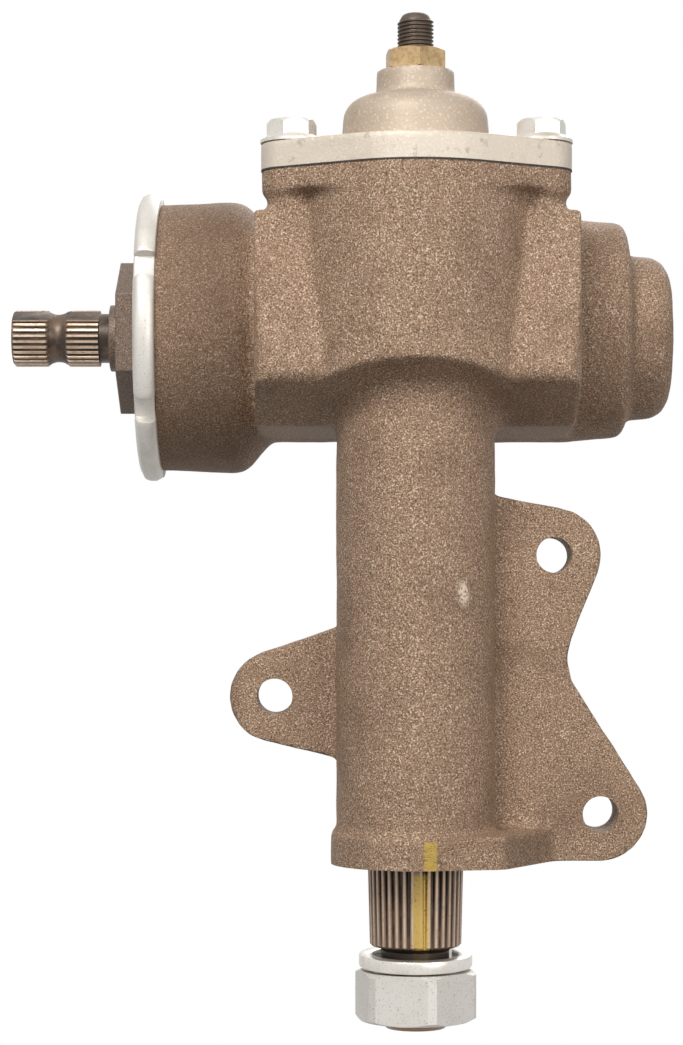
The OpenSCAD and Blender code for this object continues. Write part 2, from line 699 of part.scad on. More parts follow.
// Worm shaft: ball thread, two bearing cones and the serrated input end
module worm_shaft() color([0.62, 0.62, 0.62]) union() {
    worm_thread();
    difference() {
        union() {
            worm_rod(upper_ball_x + race_shoulder, -thread_end + worm_lead, worm_core_r);
            worm_rod(upper_ball_x + race_shoulder, upper_ball_x + race_shoulder + 4, cone_r);
            worm_rod(upper_ball_x - 4.5, upper_ball_x + race_shoulder + 1, bearing_shaft_r);
            worm_rod(serration_inner, upper_ball_x - 4, input_shank_d / 2);
            worm_rod(thread_end - worm_lead, lower_ball_x - race_shoulder, worm_core_r);
            worm_rod(lower_ball_x - race_shoulder - 4, lower_ball_x - race_shoulder, cone_r);
            worm_rod(lower_ball_x - race_shoulder - 1, lower_ball_x + 4.5, bearing_shaft_r);
            difference() {
                intersection() {
                    on_worm(input_end) linear_extrude(height = serration_inner - input_end + 1)
                        serrations(input_d / 2, input_d / 2 - 0.9, input_teeth, 0);
                    on_worm(0) rotate_extrude() polygon(concat(
                        [[0, input_end - 1], [input_d / 2 - 1, input_end - 1],
                         [input_d / 2 - 1, input_end], [input_d / 2 + 0.1, input_end + 1]],
                        arc([input_d / 2 + 0.1 + groove_arc_r - groove_depth, input_groove],
                            groove_arc_r, 180 + groove_arc_angle, 180 - groove_arc_angle),
                        [[input_d / 2 + 0.1, serration_inner], [0, serration_inner + 1]]));
                }
                on_worm(input_end - 1) rotate([0, 0, 270 - 62])
                    translate([input_d / 2 - input_flat, -input_d / 2, 0])
                        cube([4, input_d, serration_inner - input_end + 2]);
            }
        }
        for (x = [upper_ball_x, lower_ball_x]) on_worm(x) rotate_extrude()
            translate([bearing_r, 0]) circle(r = race_r);
    }
}

// Groove of one ball circuit inside the nut
module nut_groove() {
    sections = circuit_turns * turn_steps;
    vertices = [for (i = [0 : sections]) for (k = [0 : tube_sides - 1])
        let (a = (k + 0.5) * 360 / tube_sides)
        helix_point(90 + i * 360 / turn_steps, nut_groove_r / cos(180 / tube_sides) * cos(a),
            ball_circle_r + nut_groove_r / cos(180 / tube_sides) * sin(a))];
    faces = concat(
        [for (i = [0 : sections - 1]) for (k = [0 : tube_sides - 1])
            let (n = (k + 1) % tube_sides) each [
                [i * tube_sides + k, (i + 1) * tube_sides + k, (i + 1) * tube_sides + n],
                [i * tube_sides + k, (i + 1) * tube_sides + n, i * tube_sides + n]]],
        [[for (k = [0 : tube_sides - 1]) k]],
        [[for (k = [tube_sides - 1 : -1 : 0]) sections * tube_sides + k]]);
    polyhedron(points = vertices, faces = faces);
}

module at_circuits() translate([0, worm_y, worm_height])
    for (n = [0, 1]) translate([n * circuit_gap_turns * worm_lead, 0, 0]) children();

// Legs of one return guide, as rods away from the worm
module guide_legs(from, to, r) for (side = [0, 1])
    translate([circuit_start + side * guide_dx, from, ball_circle_r * (1 - 2 * side)])
        rotate([-90, 0, 0]) cylinder(h = to - from, r = r);

// Ball nut: bored block with ball grooves, guide holes and the rack
module ball_nut() color([0.50, 0.51, 0.52]) difference() {
    union() {
        translate([0, worm_y, worm_height]) intersection() {
            translate([-nut_length / 2, -nut_half, -nut_half])
                cube([nut_length, 2 * nut_half, 2 * nut_half]);
            rotate([0, 90, 0]) cylinder(h = nut_length + 2, r = nut_corner_r, center = true);
        }
        translate([0, 0, worm_height - rack_width / 2]) linear_extrude(height = rack_width)
            for (k = [-1.5 : 1 : 1.5]) translate([k * tooth_pitch, pitch_r]) rack_tooth();
    }
    worm_rod(-nut_length / 2 - cut_over, nut_length / 2 + cut_over, nut_bore_r);
    at_circuits() {
        nut_groove();
        guide_legs(-0.5, guide_foot + 1, guide_hole_r);
        guide_legs(guide_foot, guide_leg, guide_r + thread_fit);
        guide_legs(guide_leg - 0.5, nut_half + 1, guide_r + bend_relief);
        guide_legs(nut_half - spot_face, nut_half + 1, guide_bend_r + thread_fit);
    }
    at_clamp_screws() cylinder(h = 5, r = clamp_screw_r + thread_fit, center = true);
}

module rack_tooth() {
    slope = tan(pressure_angle);
    polygon([[tooth_half + slope * dedendum, dedendum + 1], [-tooth_half - slope * dedendum, dedendum + 1],
        [-tooth_half - slope * dedendum, dedendum], [-tooth_half + slope * addendum, -addendum],
        [tooth_half - slope * addendum, -addendum], [tooth_half + slope * dedendum, dedendum]]);
}

module recirculating_balls() color([0.85, 0.86, 0.87]) at_circuits()
    for (k = [0 : circuit_balls - 1]) translate(circuit_point((k + 0.5) * ball_step))
        sphere(d = ball_d);

// Frame of one guide: Y away from the worm, Z along the bridge
module at_guide() translate([circuit_start + guide_dx / 2, 0, 0])
    rotate([0, -guide_skew, 0]) children();

// Stations of a guide: along the bridge, away from the worm, turn of the path
bend_steps = 6;
guide_sides = 14;
guide_stations = concat(
    [[0, guide_foot, 0]],
    [for (k = [0 : bend_steps]) let (a = 90 * k / bend_steps)
        [guide_bend_r * (1 - cos(a)), guide_leg + guide_bend_r * sin(a), a]],
    [for (k = [0 : bend_steps]) let (a = 90 + 90 * k / bend_steps)
        [guide_span - guide_bend_r * (1 + cos(a)), guide_leg + guide_bend_r * sin(a), a]],
    [[guide_span, guide_foot, 180]]);

// Ring of points round one station
function guide_ring(p, r) = [for (k = [0 : guide_sides - 1]) let (a = k * 360 / guide_sides)
    [r * cos(a), p[1] - r * sin(a) * sin(p[2]), p[0] - guide_span / 2 + r * sin(a) * cos(p[2])]];

// Faces between the rings of a guide
guide_walls = [
    for (i = [0 : len(guide_stations) - 2]) for (k = [0 : guide_sides - 1])
        let (a = i * guide_sides + k, b = i * guide_sides + (k + 1) % guide_sides) each [
            [a, a + guide_sides, b + guide_sides], [a, b + guide_sides, b]]
];

// Two bent return tubes on the back of the nut
module ball_return_guides() color([0.66, 0.66, 0.64]) at_circuits() at_guide() {
    stations = len(guide_stations);
    vertices = [for (r = [guide_r, guide_hole_r]) for (p = guide_stations) each guide_ring(p, r)];
    inner = stations * guide_sides;
    last = (stations - 1) * guide_sides;
    ends = [for (k = [0 : guide_sides - 1]) let (b = (k + 1) % guide_sides) each [
        [k, b, b + inner], [k, b + inner, k + inner],
        [last + k, last + b + inner, last + b], [last + k, last + k + inner, last + b + inner]]];
    polyhedron(points = vertices, faces = concat(
        guide_walls, [for (f = guide_walls) [f[2] + inner, f[1] + inner, f[0] + inner]], ends));
}

module in_clamp_frame() translate([0, worm_y, worm_height]) rotate([0, -guide_skew, 0]) children();

clamp_half = guide_spacing / 2;
clamp_web = clamp_half - guide_r - 0.4;
clamp_roof = guide_lift + guide_r;
clamp_wing = clamp_half + guide_r * 0.3;
clamp_foot_length = 16;
clamp_wing_length = 8;
clamp_screw_offset = 4.4;

// Strap that holds both guides to the nut: a screwed foot and two wings
module guide_clamp() color([0.60, 0.60, 0.58]) in_clamp_frame() difference() {
    union() {
        translate([-clamp_web, nut_half, -clamp_foot_length / 2])
            cube([2 * clamp_web, clamp_thickness, clamp_foot_length]);
        for (side = [0, 1]) mirror([side, 0, 0]) translate([0, 0, -clamp_wing_length / 2])
            linear_extrude(height = clamp_wing_length) polygon([
                [clamp_web - clamp_thickness, nut_half], [clamp_web, nut_half],
                [clamp_web, clamp_roof], [clamp_wing, clamp_roof],
                [clamp_wing, clamp_roof + clamp_thickness],
                [clamp_web - clamp_thickness, clamp_roof + clamp_thickness]]);
    }
    for (side = [-1, 1]) translate([0, nut_half, side * clamp_screw_offset]) rotate([-90, 0, 0])
        cylinder(h = 6, r = clamp_screw_r + thread_fit, center = true);
}

module at_clamp_screws() in_clamp_frame() for (side = [-1, 1])
    translate([0, nut_half, side * clamp_screw_offset]) rotate([-90, 0, 0]) children();

module clamp_screws() color([0.35, 0.34, 0.33]) at_clamp_screws() {
    translate([0, 0, -2]) cylinder(h = 4, r = clamp_screw_r);
    translate([0, 0, clamp_thickness]) cylinder(h = 2.2, r = clamp_screw_head_r);
}

// Outline of the toothed sector: three involute teeth on a wedge of the hub
module sector_outline() {
    circle(r = sector_hub_r);
    polygon(concat([[0, 0]], arc([0, 0], sector_root_r, 90 - 1.45 * tooth_step_angle,
        90 + 1.45 * tooth_step_angle, 12)));
    for (n = [-1 : 1]) rotate(90 + n * tooth_step_angle) polygon(concat(
        [polar(sector_root_r - 2, flank_angle(base_r))],
        [for (k = [0 : flank_steps]) polar(flank_radius(k), flank_angle(flank_radius(k)))],
        [for (k = [flank_steps : -1 : 0]) polar(flank_radius(k), -flank_angle(flank_radius(k)))],
        [polar(sector_root_r - 2, -flank_angle(base_r))]));
}

// Pitman shaft with its toothed sector, lash slot and tapered spline
module sector_shaft() color([0.55, 0.54, 0.52]) difference() {
    union() {
        translate([0, 0, 0.2]) cylinder(h = sector_bottom, r = pitman_d / 2);
        translate([0, 0, sector_bottom]) linear_extrude(height = sector_face) sector_outline();
        translate([0, 0, sector_top - 1])
            cylinder(h = journal_top - sector_top + 1, r = journal_d / 2);
        intersection() {
            translate([0, 0, -spline_length - 1]) linear_extrude(height = spline_length + 2)
                serrations(spline_tip_r, spline_root_r, spline_teeth, spline_blank);
            rotate_extrude() polygon([[0, -spline_length], [spline_small_r - 0.8, -spline_length],
                [spline_small_r, -spline_length + 0.8], [spline_tip_r - 0.02, 0.6], [0, 0.6]]);
        }
        rotate_extrude() polygon([[0, pitman_end], [pitman_thread_r - 1.4, pitman_end],
            [pitman_thread_r, pitman_end + 1.4], [pitman_thread_r, -spline_length - 1.5],
            [pitman_thread_r + 1.5, -spline_length + 0.2], [0, -spline_length + 0.2]]);
    }
    translate([-lash_head_r - slot_play, -journal_d / 2 - 1, slot_floor])
        cube([2 * (lash_head_r + slot_play), journal_d + 2, journal_top - slot_neck - slot_floor]);
    translate([-lash_neck_r - slot_play, -journal_d / 2 - 1, journal_top - slot_neck - 1])
        cube([2 * (lash_neck_r + slot_play), journal_d + 2, slot_neck + 2]);
}

// Split spring washer
module pitman_lock_washer() color([0.78, 0.78, 0.76]) translate([0, 0, washer_bottom]) difference() {
    cylinder(h = washer_thickness, r = lock_washer_od / 2);
    translate([0, 0, -cut_over]) cylinder(h = washer_thickness + 2, r = pitman_thread_r + 0.6);
    rotate([0, 0, 40]) translate([0, -washer_gap / 2, -cut_over])
        cube([lock_washer_od, washer_gap, washer_thickness + 2]);
}

module pitman_nut() color([0.80, 0.81, 0.80]) translate([0, 0, pitman_nut_bottom])
    rotate([0, 0, 12.2]) hex_nut(pitman_nut_af, pitman_nut_height, pitman_thread_r + thread_fit);

gear_housing();
side_cover();
side_cover_gasket();
cover_bolts();
side_cover_bushing();
lash_adjuster_screw();
lash_lock_nut();
lash_shim();
worm_bearing_adjuster();
adjuster_lock_ring();
worm_seal();
upper_bearing_cup();
lower_bearing_cup();
pitman_bushings();
pitman_seal();
worm_shaft();
upper_bearing_balls();
upper_ball_cage();
lower_bearing_balls();
lower_ball_cage();
ball_nut();
recirculating_balls();
ball_return_guides();
guide_clamp();
clamp_screws();
sector_shaft();
pitman_lock_washer();
pitman_nut();
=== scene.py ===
import json
import math

import bmesh
import bpy
from mathutils import Matrix, Vector


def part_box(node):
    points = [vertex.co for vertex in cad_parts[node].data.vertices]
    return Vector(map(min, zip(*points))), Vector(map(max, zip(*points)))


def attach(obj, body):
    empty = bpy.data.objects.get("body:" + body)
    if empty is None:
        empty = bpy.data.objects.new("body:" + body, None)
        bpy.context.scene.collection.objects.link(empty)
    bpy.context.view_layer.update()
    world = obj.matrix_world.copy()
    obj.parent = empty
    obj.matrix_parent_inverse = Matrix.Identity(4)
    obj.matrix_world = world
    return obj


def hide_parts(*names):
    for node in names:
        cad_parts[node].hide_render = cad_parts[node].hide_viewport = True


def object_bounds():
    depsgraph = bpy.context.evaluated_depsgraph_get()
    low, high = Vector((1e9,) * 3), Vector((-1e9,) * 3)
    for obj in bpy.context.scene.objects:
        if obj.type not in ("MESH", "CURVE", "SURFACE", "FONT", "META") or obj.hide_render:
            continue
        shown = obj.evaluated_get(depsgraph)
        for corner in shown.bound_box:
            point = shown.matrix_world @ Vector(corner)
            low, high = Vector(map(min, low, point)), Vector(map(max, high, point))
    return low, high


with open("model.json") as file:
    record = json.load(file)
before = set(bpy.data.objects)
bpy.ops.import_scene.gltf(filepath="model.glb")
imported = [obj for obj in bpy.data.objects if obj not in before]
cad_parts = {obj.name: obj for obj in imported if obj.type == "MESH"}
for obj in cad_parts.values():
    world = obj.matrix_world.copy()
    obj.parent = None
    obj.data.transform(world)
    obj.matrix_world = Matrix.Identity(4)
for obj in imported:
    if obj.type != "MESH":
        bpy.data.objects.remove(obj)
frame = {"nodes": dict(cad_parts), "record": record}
cad_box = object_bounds()

# Gear casting
# One grey-iron casting poured in sand: pitman tube, frame ears, box, barrel and lower bearing boss.
# Its edges are cast soft, while the cover flange, barrel end, rim and ear pads are machined flat.
# The three frame holes are drilled, and a dab of yellow inspection paint marks the rim.
WELD = 1e-6
LEVEL_WITHIN = 1e-5
FLAT = 0.999
CAST_GRID = 0.0012
CAST_SMOOTHING = 6
SOFTENING = 0.5
NECK_SMOOTHING = 40
NECK_BOTTOM = 0.138
NECK_TOP = 0.176
NECK_BACK = 0.012
NECK_INNER = 0.0225
NECK_OUTER = 0.0375
EAR_TOP = 0.130
MACHINING_STOCK = 0.003
LUMP_SIZE = 0.011
LUMP_DEPTH = 0.0005
LUMP_LAYERS = 3
FACETS_KEPT = 0.6
HOLE_OVERSIZE = 0.0006
HOLE_RECESS = 0.0002
DRILL_OVERRUN = 0.02
HOLE_SIDES = 64
IRON_TAN = (0.40, 0.257, 0.165, 1)
IRON_DARK = (0.13, 0.08, 0.05, 1)
IRON_PALE = (0.86, 0.69, 0.54, 1)
IRON_RUST = (0.27, 0.15, 0.085, 1)
PAINT_YELLOW = (0.56, 0.38, 0.09, 1)
GRAINS_PER_METRE = 2100.0
GRAIN_RANGE = (0.34, 0.58)
SPARKS_PER_METRE = 1900.0
SPARK_RANGE = (0.52, 0.68)
SPARK_SHARE = 0.85
PITS_PER_METRE = 1000.0
PIT_RANGE = (0.56, 0.70)
PIT_SHARE = 0.6
TONES_PER_METRE = 38.0
TONE_RANGE = (0.45, 0.75)
TONE_SHARE = 0.35
RUST_PATCHES_PER_METRE = 16.0
RUST_RANGE = (0.52, 0.75)
RUST_SHARE = 0.35
PAINT_COVER = (0.30, 0.48)
BARREL_EDGE = -0.055
BARREL_FADE = 0.008
BARREL_SHARE = 0.42
RIM_MARK_MIDDLE = 0.0042
RIM_MARK_HALF = 0.0021
RIM_MARK_TOP = 0.0094
RIM_MARK_WANDER = 0.003
RIM_FRONT = (-0.024, -0.022)
MARK_EDGE = 0.0005
SCUFF_SIDE = 0.0149
SCUFF_LEVEL = 0.089
SCUFF_WIDTH = 0.0028
SCUFF_HEIGHT = 0.0055
SCUFF_FADE = (0.3, 1.0)
SCUFF_COVER = (0.40, 0.55)
TUBE_FRONT = (-0.020, -0.018)
IRON_ROUGHNESS = 0.45
IRON_ROUGHNESS_SPREAD = 0.3
SPARK_RELIEF = 0.6
PIT_RELIEF = 0.8
IRON_BUMP = (0.8, 0.0004)
IRON_METALLIC = 0.1
IRON_SPECULAR = 0.12
SMOOTH_BELOW = 35
UP = Vector((0, 0, 1))
DOWN = Vector((0, 0, -1))
OUTBOARD = Vector((-1, 0, 0))
TO_FRAME = Vector((0, 1, 0))


class Wire:
    """An output socket of a shader node. Arithmetic on it adds Math nodes to its material."""

    def __init__(self, tree, socket):
        self.tree = tree
        self.socket = socket

    def node(self, kind, settings, values, output=0):
        made = self.tree.nodes.new(kind)
        for key, value in settings.items():
            setattr(made, key, value)
        for key, value in values.items():
            if isinstance(value, Wire):
                self.tree.links.new(value.socket, made.inputs[key])
            else:
                made.inputs[key].default_value = value
        return Wire(self.tree, made.outputs[output])

    def math(self, operation, first, second):
        return self.node("ShaderNodeMath", {"operation": operation}, {0: first, 1: second})

    def __add__(self, other):
        return self.math("ADD", self, other)

    __radd__ = __add__

    def __mul__(self, other):
        return self.math("MULTIPLY", self, other)

    __rmul__ = __mul__

    def __sub__(self, other):
        return self.math("SUBTRACT", self, other)

    def __rsub__(self, other):
        return self.math("SUBTRACT", other, self)

    def __abs__(self):
        return self.math("ABSOLUTE", self, 0.0)

    def root(self):
        return self.math("SQRT", self, 0.0)

    def cosine(self):
        return self.math("COSINE", self, 0.0)

    def rise(self, low, high):
        return self.node("ShaderNodeMapRange", {"interpolation_type": "SMOOTHSTEP"},
                         {"Value": self, "From Min": low, "From Max": high})

    def noise(self, scale, detail=2.0, roughness=0.5):
        return self.node("ShaderNodeTexNoise", {},
                         {"Vector": self, "Scale": scale, "Detail": detail, "Roughness": roughness})

    def axis(self, name):
        return self.node("ShaderNodeSeparateXYZ", {}, {0: self}, "XYZ".index(name))

    def blend(self, first, second):
        return self.node("ShaderNodeMix", {"data_type": "RGBA"}, {0: self, 6: first, 7: second}, 2)

    def bump(self, strength, depth):
        return self.node("ShaderNodeBump", {}, {"Height": self, "Strength": strength, "Distance": depth})

    def into(self, shader, name):
        self.tree.links.new(self.socket, shader.inputs[name])


def new_material(name):
    material = bpy.data.materials.new(name)
    material.use_nodes = True
    tree = material.node_tree
    place = tree.nodes.new("ShaderNodeTexCoord")
    return material, tree.nodes["Principled BSDF"], Wire(tree, place.outputs["Object"])


def merged_copy(node):
    shape = bmesh.new()
    shape.from_mesh(frame["nodes"][node].data)
    bmesh.ops.remove_doubles(shape, verts=shape.verts, dist=WELD)
    return shape


def as_object(name, shape):
    mesh = bpy.data.meshes.new(name)
    shape.to_mesh(mesh)
    shape.free()
    if "custom_normal" in mesh.attributes:
        mesh.attributes.remove(mesh.attributes["custom_normal"])
    made = bpy.data.objects.new(name, mesh)
    bpy.context.scene.collection.objects.link(made)
    return made


def with_modifiers_applied(made):
    held = bpy.context.evaluated_depsgraph_get()
    shape = bmesh.new()
    shape.from_mesh(bpy.data.meshes.new_from_object(made.evaluated_get(held)))
    bpy.data.objects.remove(made)
    return shape


def dress(made, material, body, node, sharp=SMOOTH_BELOW):
    made.data.shade_smooth()
    made.data.set_sharp_from_angle(angle=math.radians(sharp))
    made.data.materials.clear()
    made.data.materials.append(material)
    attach(made, body)
    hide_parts(node)


def raise_flat(shape, point, normal, height):
    level = point.dot(normal)
    flat = [f for f in shape.faces if f.normal.dot(normal) > FLAT
            and abs(f.calc_center_median().dot(normal) - level) < LEVEL_WITHIN]
    grown = bmesh.ops.extrude_face_region(shape, geom=flat)["geom"]
    bmesh.ops.translate(shape, verts=[g for g in grown if isinstance(g, bmesh.types.BMVert)],
                        vec=normal * height)
    bmesh.ops.delete(shape, geom=[f for f in flat if f.is_valid], context="FACES")


def cut_flat(shape, faces, point, normal):
    edges = {e for f in faces for e in f.edges}
    verts = {v for f in faces for v in f.verts}
    cut = bmesh.ops.bisect_plane(shape, geom=list(verts) + list(edges) + list(faces), dist=WELD,
                                 plane_co=point, plane_no=normal, clear_outer=True)["geom_cut"]
    rim = [g for g in cut if isinstance(g, bmesh.types.BMEdge)]
    bmesh.ops.triangle_fill(shape, edges=rim, use_beauty=True, normal=normal)


def cast_in_sand(shape, grid, smoothing):
    rough = as_object("rough_casting", shape)
    remesh = rough.modifiers.new("sand_mould", "REMESH")
    remesh.mode = "VOXEL"
    remesh.voxel_size = grid
    soften = rough.modifiers.new("soft_edges", "SMOOTH")
    soften.factor = SOFTENING
    soften.iterations = smoothing
    return with_modifiers_applied(rough)


mounts = {m["name"]: m for m in frame["record"]["mounts"]}
frame_holes = [mounts[n] for n in ("frame_hole_left", "frame_hole_upper", "frame_hole_lower")]
hole_turn = Matrix.Rotation(math.pi / 2, 4, "X")


def hole_rods(shape, extra_radius, extra_length):
    for hole in frame_holes:
        length = hole["dims"]["length_mm"] / 1000 + extra_length
        radius = hole["dims"]["r_mm"] / 1000 + extra_radius
        bmesh.ops.create_cone(shape, cap_ends=True, segments=HOLE_SIDES, radius1=radius, radius2=radius,
                              depth=length, matrix=Matrix.Translation(hole["pos_m"]) @ hole_turn)


gasket_low, gasket_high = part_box("side_cover_gasket")
flange_level = Vector((0, 0, gasket_low.z))
barrel_end = Vector((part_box("adjuster_lock_ring")[1].x, 0, 0))
rim_level = Vector((0, 0, 0))
pad_level = Vector(mounts["frame_pads"]["pos_m"])

casting_shape = merged_copy("gear_housing")
machined_faces = [(flange_level, UP), (barrel_end, OUTBOARD), (rim_level, DOWN)]
for level, facing in machined_faces + [(pad_level, TO_FRAME)]:
    raise_flat(casting_shape, level, facing, MACHINING_STOCK)
hole_rods(casting_shape, HOLE_OVERSIZE, -HOLE_RECESS)
casting_shape = cast_in_sand(casting_shape, CAST_GRID, CAST_SMOOTHING)

neck = [v for v in casting_shape.verts if NECK_BOTTOM < v.co.z < NECK_TOP and v.co.y < NECK_BACK
        and NECK_INNER < v.co.xy.length < NECK_OUTER]
for step in range(NECK_SMOOTHING):
    bmesh.ops.smooth_vert(casting_shape, verts=neck, factor=SOFTENING, use_axis_x=True, use_axis_y=True,
                          use_axis_z=True)

lumpy_casting = as_object("lumpy_casting", casting_shape)
lumps = bpy.data.textures.new("casting_lumps", "CLOUDS")
lumps.noise_scale = LUMP_SIZE
lumps.noise_depth = LUMP_LAYERS
displace = lumpy_casting.modifiers.new("casting_lumps", "DISPLACE")
displace.texture = lumps
displace.texture_coords = "LOCAL"
displace.strength = LUMP_DEPTH
displace.mid_level = 1.0
thinning = lumpy_casting.modifiers.new("fewer_facets", "DECIMATE")
thinning.ratio = FACETS_KEPT
casting_shape = with_modifiers_applied(lumpy_casting)

for level, facing in machined_faces:
    cut_flat(casting_shape, list(casting_shape.faces), level, facing)
pads = [f for f in casting_shape.faces if f.calc_center_median().z < EAR_TOP]
cut_flat(casting_shape, pads, pad_level, TO_FRAME)

drill_shape = bmesh.new()
hole_rods(drill_shape, 0.0, DRILL_OVERRUN)
drill = as_object("frame_hole_drill", drill_shape)
drilled = as_object("drilled_casting", casting_shape)
drilling = drilled.modifiers.new("frame_holes", "BOOLEAN")
drilling.operation = "DIFFERENCE"
drilling.solver = "MANIFOLD"
drilling.object = drill
casting_shape = with_modifiers_applied(drilled)
bpy.data.objects.remove(drill)
gear_casting = as_object("gear_casting", casting_shape)

cast_iron, shader, place = new_material("cast_iron")
grain = place.noise(GRAINS_PER_METRE, 2.0, 0.6)
spark = place.noise(SPARKS_PER_METRE, 2.0, 0.6)
pit = place.noise(PITS_PER_METRE, 3.0, 0.6)
tone = place.noise(TONES_PER_METRE, 4.0, 0.6)
rust = place.noise(RUST_PATCHES_PER_METRE, 5.0, 0.65)
iron = grain.rise(*GRAIN_RANGE).blend(IRON_DARK, IRON_TAN)
iron = (spark.rise(*SPARK_RANGE) * SPARK_SHARE).blend(iron, IRON_PALE)
iron = (pit.rise(*PIT_RANGE) * PIT_SHARE).blend(iron, IRON_DARK)
iron = (tone.rise(*TONE_RANGE) * TONE_SHARE).blend(iron, IRON_DARK)
iron = (rust.rise(*RUST_RANGE) * RUST_SHARE).blend(iron, IRON_RUST)
on_barrel = 1.0 - place.axis("X").rise(BARREL_EDGE - BARREL_FADE, BARREL_EDGE)
iron = (on_barrel * BARREL_SHARE).blend(iron, IRON_DARK)
scuff_side = abs(place.axis("X") - SCUFF_SIDE) * (1 / SCUFF_WIDTH)
scuff_rise = abs(place.axis("Z") - SCUFF_LEVEL) * (1 / SCUFF_HEIGHT)
scuff = 1.0 - (scuff_side * scuff_side + scuff_rise * scuff_rise).root().rise(*SCUFF_FADE)
scuff = scuff * (1.0 - place.axis("Y").rise(*TUBE_FRONT))
iron = (scuff * pit.rise(*SCUFF_COVER)).blend(iron, IRON_PALE)
off_mark = abs(place.axis("X") - RIM_MARK_MIDDLE + (tone - 0.5) * RIM_MARK_WANDER)
rim_mark = 1.0 - off_mark.rise(RIM_MARK_HALF - MARK_EDGE, RIM_MARK_HALF + MARK_EDGE)
rim_mark = rim_mark * (1.0 - place.axis("Z").rise(RIM_MARK_TOP - MARK_EDGE, RIM_MARK_TOP))
rim_mark = rim_mark * (1.0 - place.axis("Y").rise(*RIM_FRONT))
iron = (rim_mark * grain.rise(*PAINT_COVER)).blend(iron, PAINT_YELLOW)
iron.into(shader, "Base Color")
(grain * IRON_ROUGHNESS_SPREAD + IRON_ROUGHNESS).into(shader, "Roughness")
(grain + spark * SPARK_RELIEF - pit * PIT_RELIEF).bump(*IRON_BUMP).into(shader, "Normal")
shader.inputs["Metallic"].default_value = IRON_METALLIC
shader.inputs["Specular IOR Level"].default_value = IRON_SPECULAR
dress(gear_casting, cast_iron, "housing", "gear_housing")

# Worm bearings
# Two rows of hardened steel balls in pressed-in ground cups, spaced by stamped sheet cages.
# They carry the worm at both ends of the box and are set by the adjuster plug.
CUP_LIGHT = (0.60, 0.60, 0.60, 1)
CUP_DARK = (0.45, 0.45, 0.46, 1)
BALL_LIGHT = (0.80, 0.81, 0.82, 1)
BALL_DARK = (0.70, 0.71, 0.72, 1)
SHEET_LIGHT = (0.62, 0.62, 0.60, 1)
SHEET_DARK = (0.48, 0.48, 0.47, 1)
WEAR_RANGE = (0.35, 0.70)
WEAR_PATCH_RANGE = (0.40, 0.70)
SPOTS_PER_PATCH = 12
WEAR_ROUGHNESS_SPREAD = 0.2
WEAR_BUMP = 0.3


def worn_metal(name, light, dark, roughness, metallic, spots_per_metre, depth):
    material, shader, place = new_material(name)
    fine = place.noise(spots_per_metre, 3.0, 0.6)
    patch = place.noise(spots_per_metre / SPOTS_PER_PATCH, 3.0, 0.6)
    wear = fine.rise(*WEAR_RANGE) * 0.5 + patch.rise(*WEAR_PATCH_RANGE) * 0.5
    wear.blend(light, dark).into(shader, "Base Color")
    (fine * WEAR_ROUGHNESS_SPREAD + (roughness - WEAR_ROUGHNESS_SPREAD / 2)).into(shader, "Roughness")
    fine.bump(WEAR_BUMP, depth).into(shader, "Normal")
    shader.inputs["Metallic"].default_value = metallic
    return material


def finish_nodes(material, *nodes):
    for node in nodes:
        skins = frame["nodes"][node].data.materials
        skins.clear()
        skins.append(material)


ground_steel = worn_metal("ground_steel", CUP_LIGHT, CUP_DARK, roughness=0.3, metallic=1.0,
                          spots_per_metre=1400.0, depth=1e-5)
ball_steel = worn_metal("polished_balls", BALL_LIGHT, BALL_DARK, roughness=0.18, metallic=1.0,
                        spots_per_metre=1600.0, depth=5e-6)
sheet_steel = worn_metal("sheet_steel", SHEET_LIGHT, SHEET_DARK, roughness=0.4, metallic=1.0,
                         spots_per_metre=800.0, depth=2e-5)
finish_nodes(ground_steel, "upper_bearing_cup", "lower_bearing_cup")
finish_nodes(ball_steel, "upper_bearing_balls", "lower_bearing_balls")
finish_nodes(sheet_steel, "upper_ball_cage", "lower_ball_cage")

# Ball nut
# A hardened steel nut with a rack on one side, running on two circuits of loose balls.
# Bent sheet tubes carry the balls back and a screwed strap holds the tubes down.
OXIDE_BROWN = (0.12, 0.088, 0.066, 1)
OXIDE_BLACK = (0.05, 0.036, 0.027, 1)

black_oxide = worn_metal("black_oxide", OXIDE_BROWN, OXIDE_BLACK, roughness=0.5, metallic=0.5,
                         spots_per_metre=1500.0, depth=3e-5)
finish_nodes(ground_steel, "ball_nut")
finish_nodes(ball_steel, "recirculating_balls")
finish_nodes(sheet_steel, "ball_return_guides", "guide_clamp")
finish_nodes(black_oxide, "clamp_screws")

# Worm shaft
# A steel shaft with a ground ball thread inside the box and a serrated end for the column coupling.
# The serrations are rolled, with a turned waist and one milled flat for the clamp bolt.
SERRATION_TIP = 0.0099
SERRATION_ROOT = 0.0091
STEEL_BRIGHT = (0.62, 0.47, 0.35, 1)
STEEL_BROWN = (0.26, 0.17, 0.115, 1)
# Dark steel: grime in the fine spots, the colour of the serration and spline valleys, and painted shadow on
# the plug thread, the nut bore and the shaft neck.
STEEL_GRIME_AND_SHADE = (0.045, 0.03, 0.021, 1)
STEEL_SPOTS_PER_METRE = 900.0
SERRATION_STAINS_PER_METRE = 110.0
STAIN_RANGE = (0.42, 0.66)
SERRATION_STAIN_SHARE = 0.55
SERRATION_SPOT_RANGE = (0.56, 0.72)
SERRATION_SPOT_SHARE = 0.6
STEEL_ROUGHNESS_SPREAD = 0.25
STEEL_BUMP = (0.4, 0.00006)
SERRATION_ROUGHNESS = 0.3
SERRATION_METALLIC = 0.5

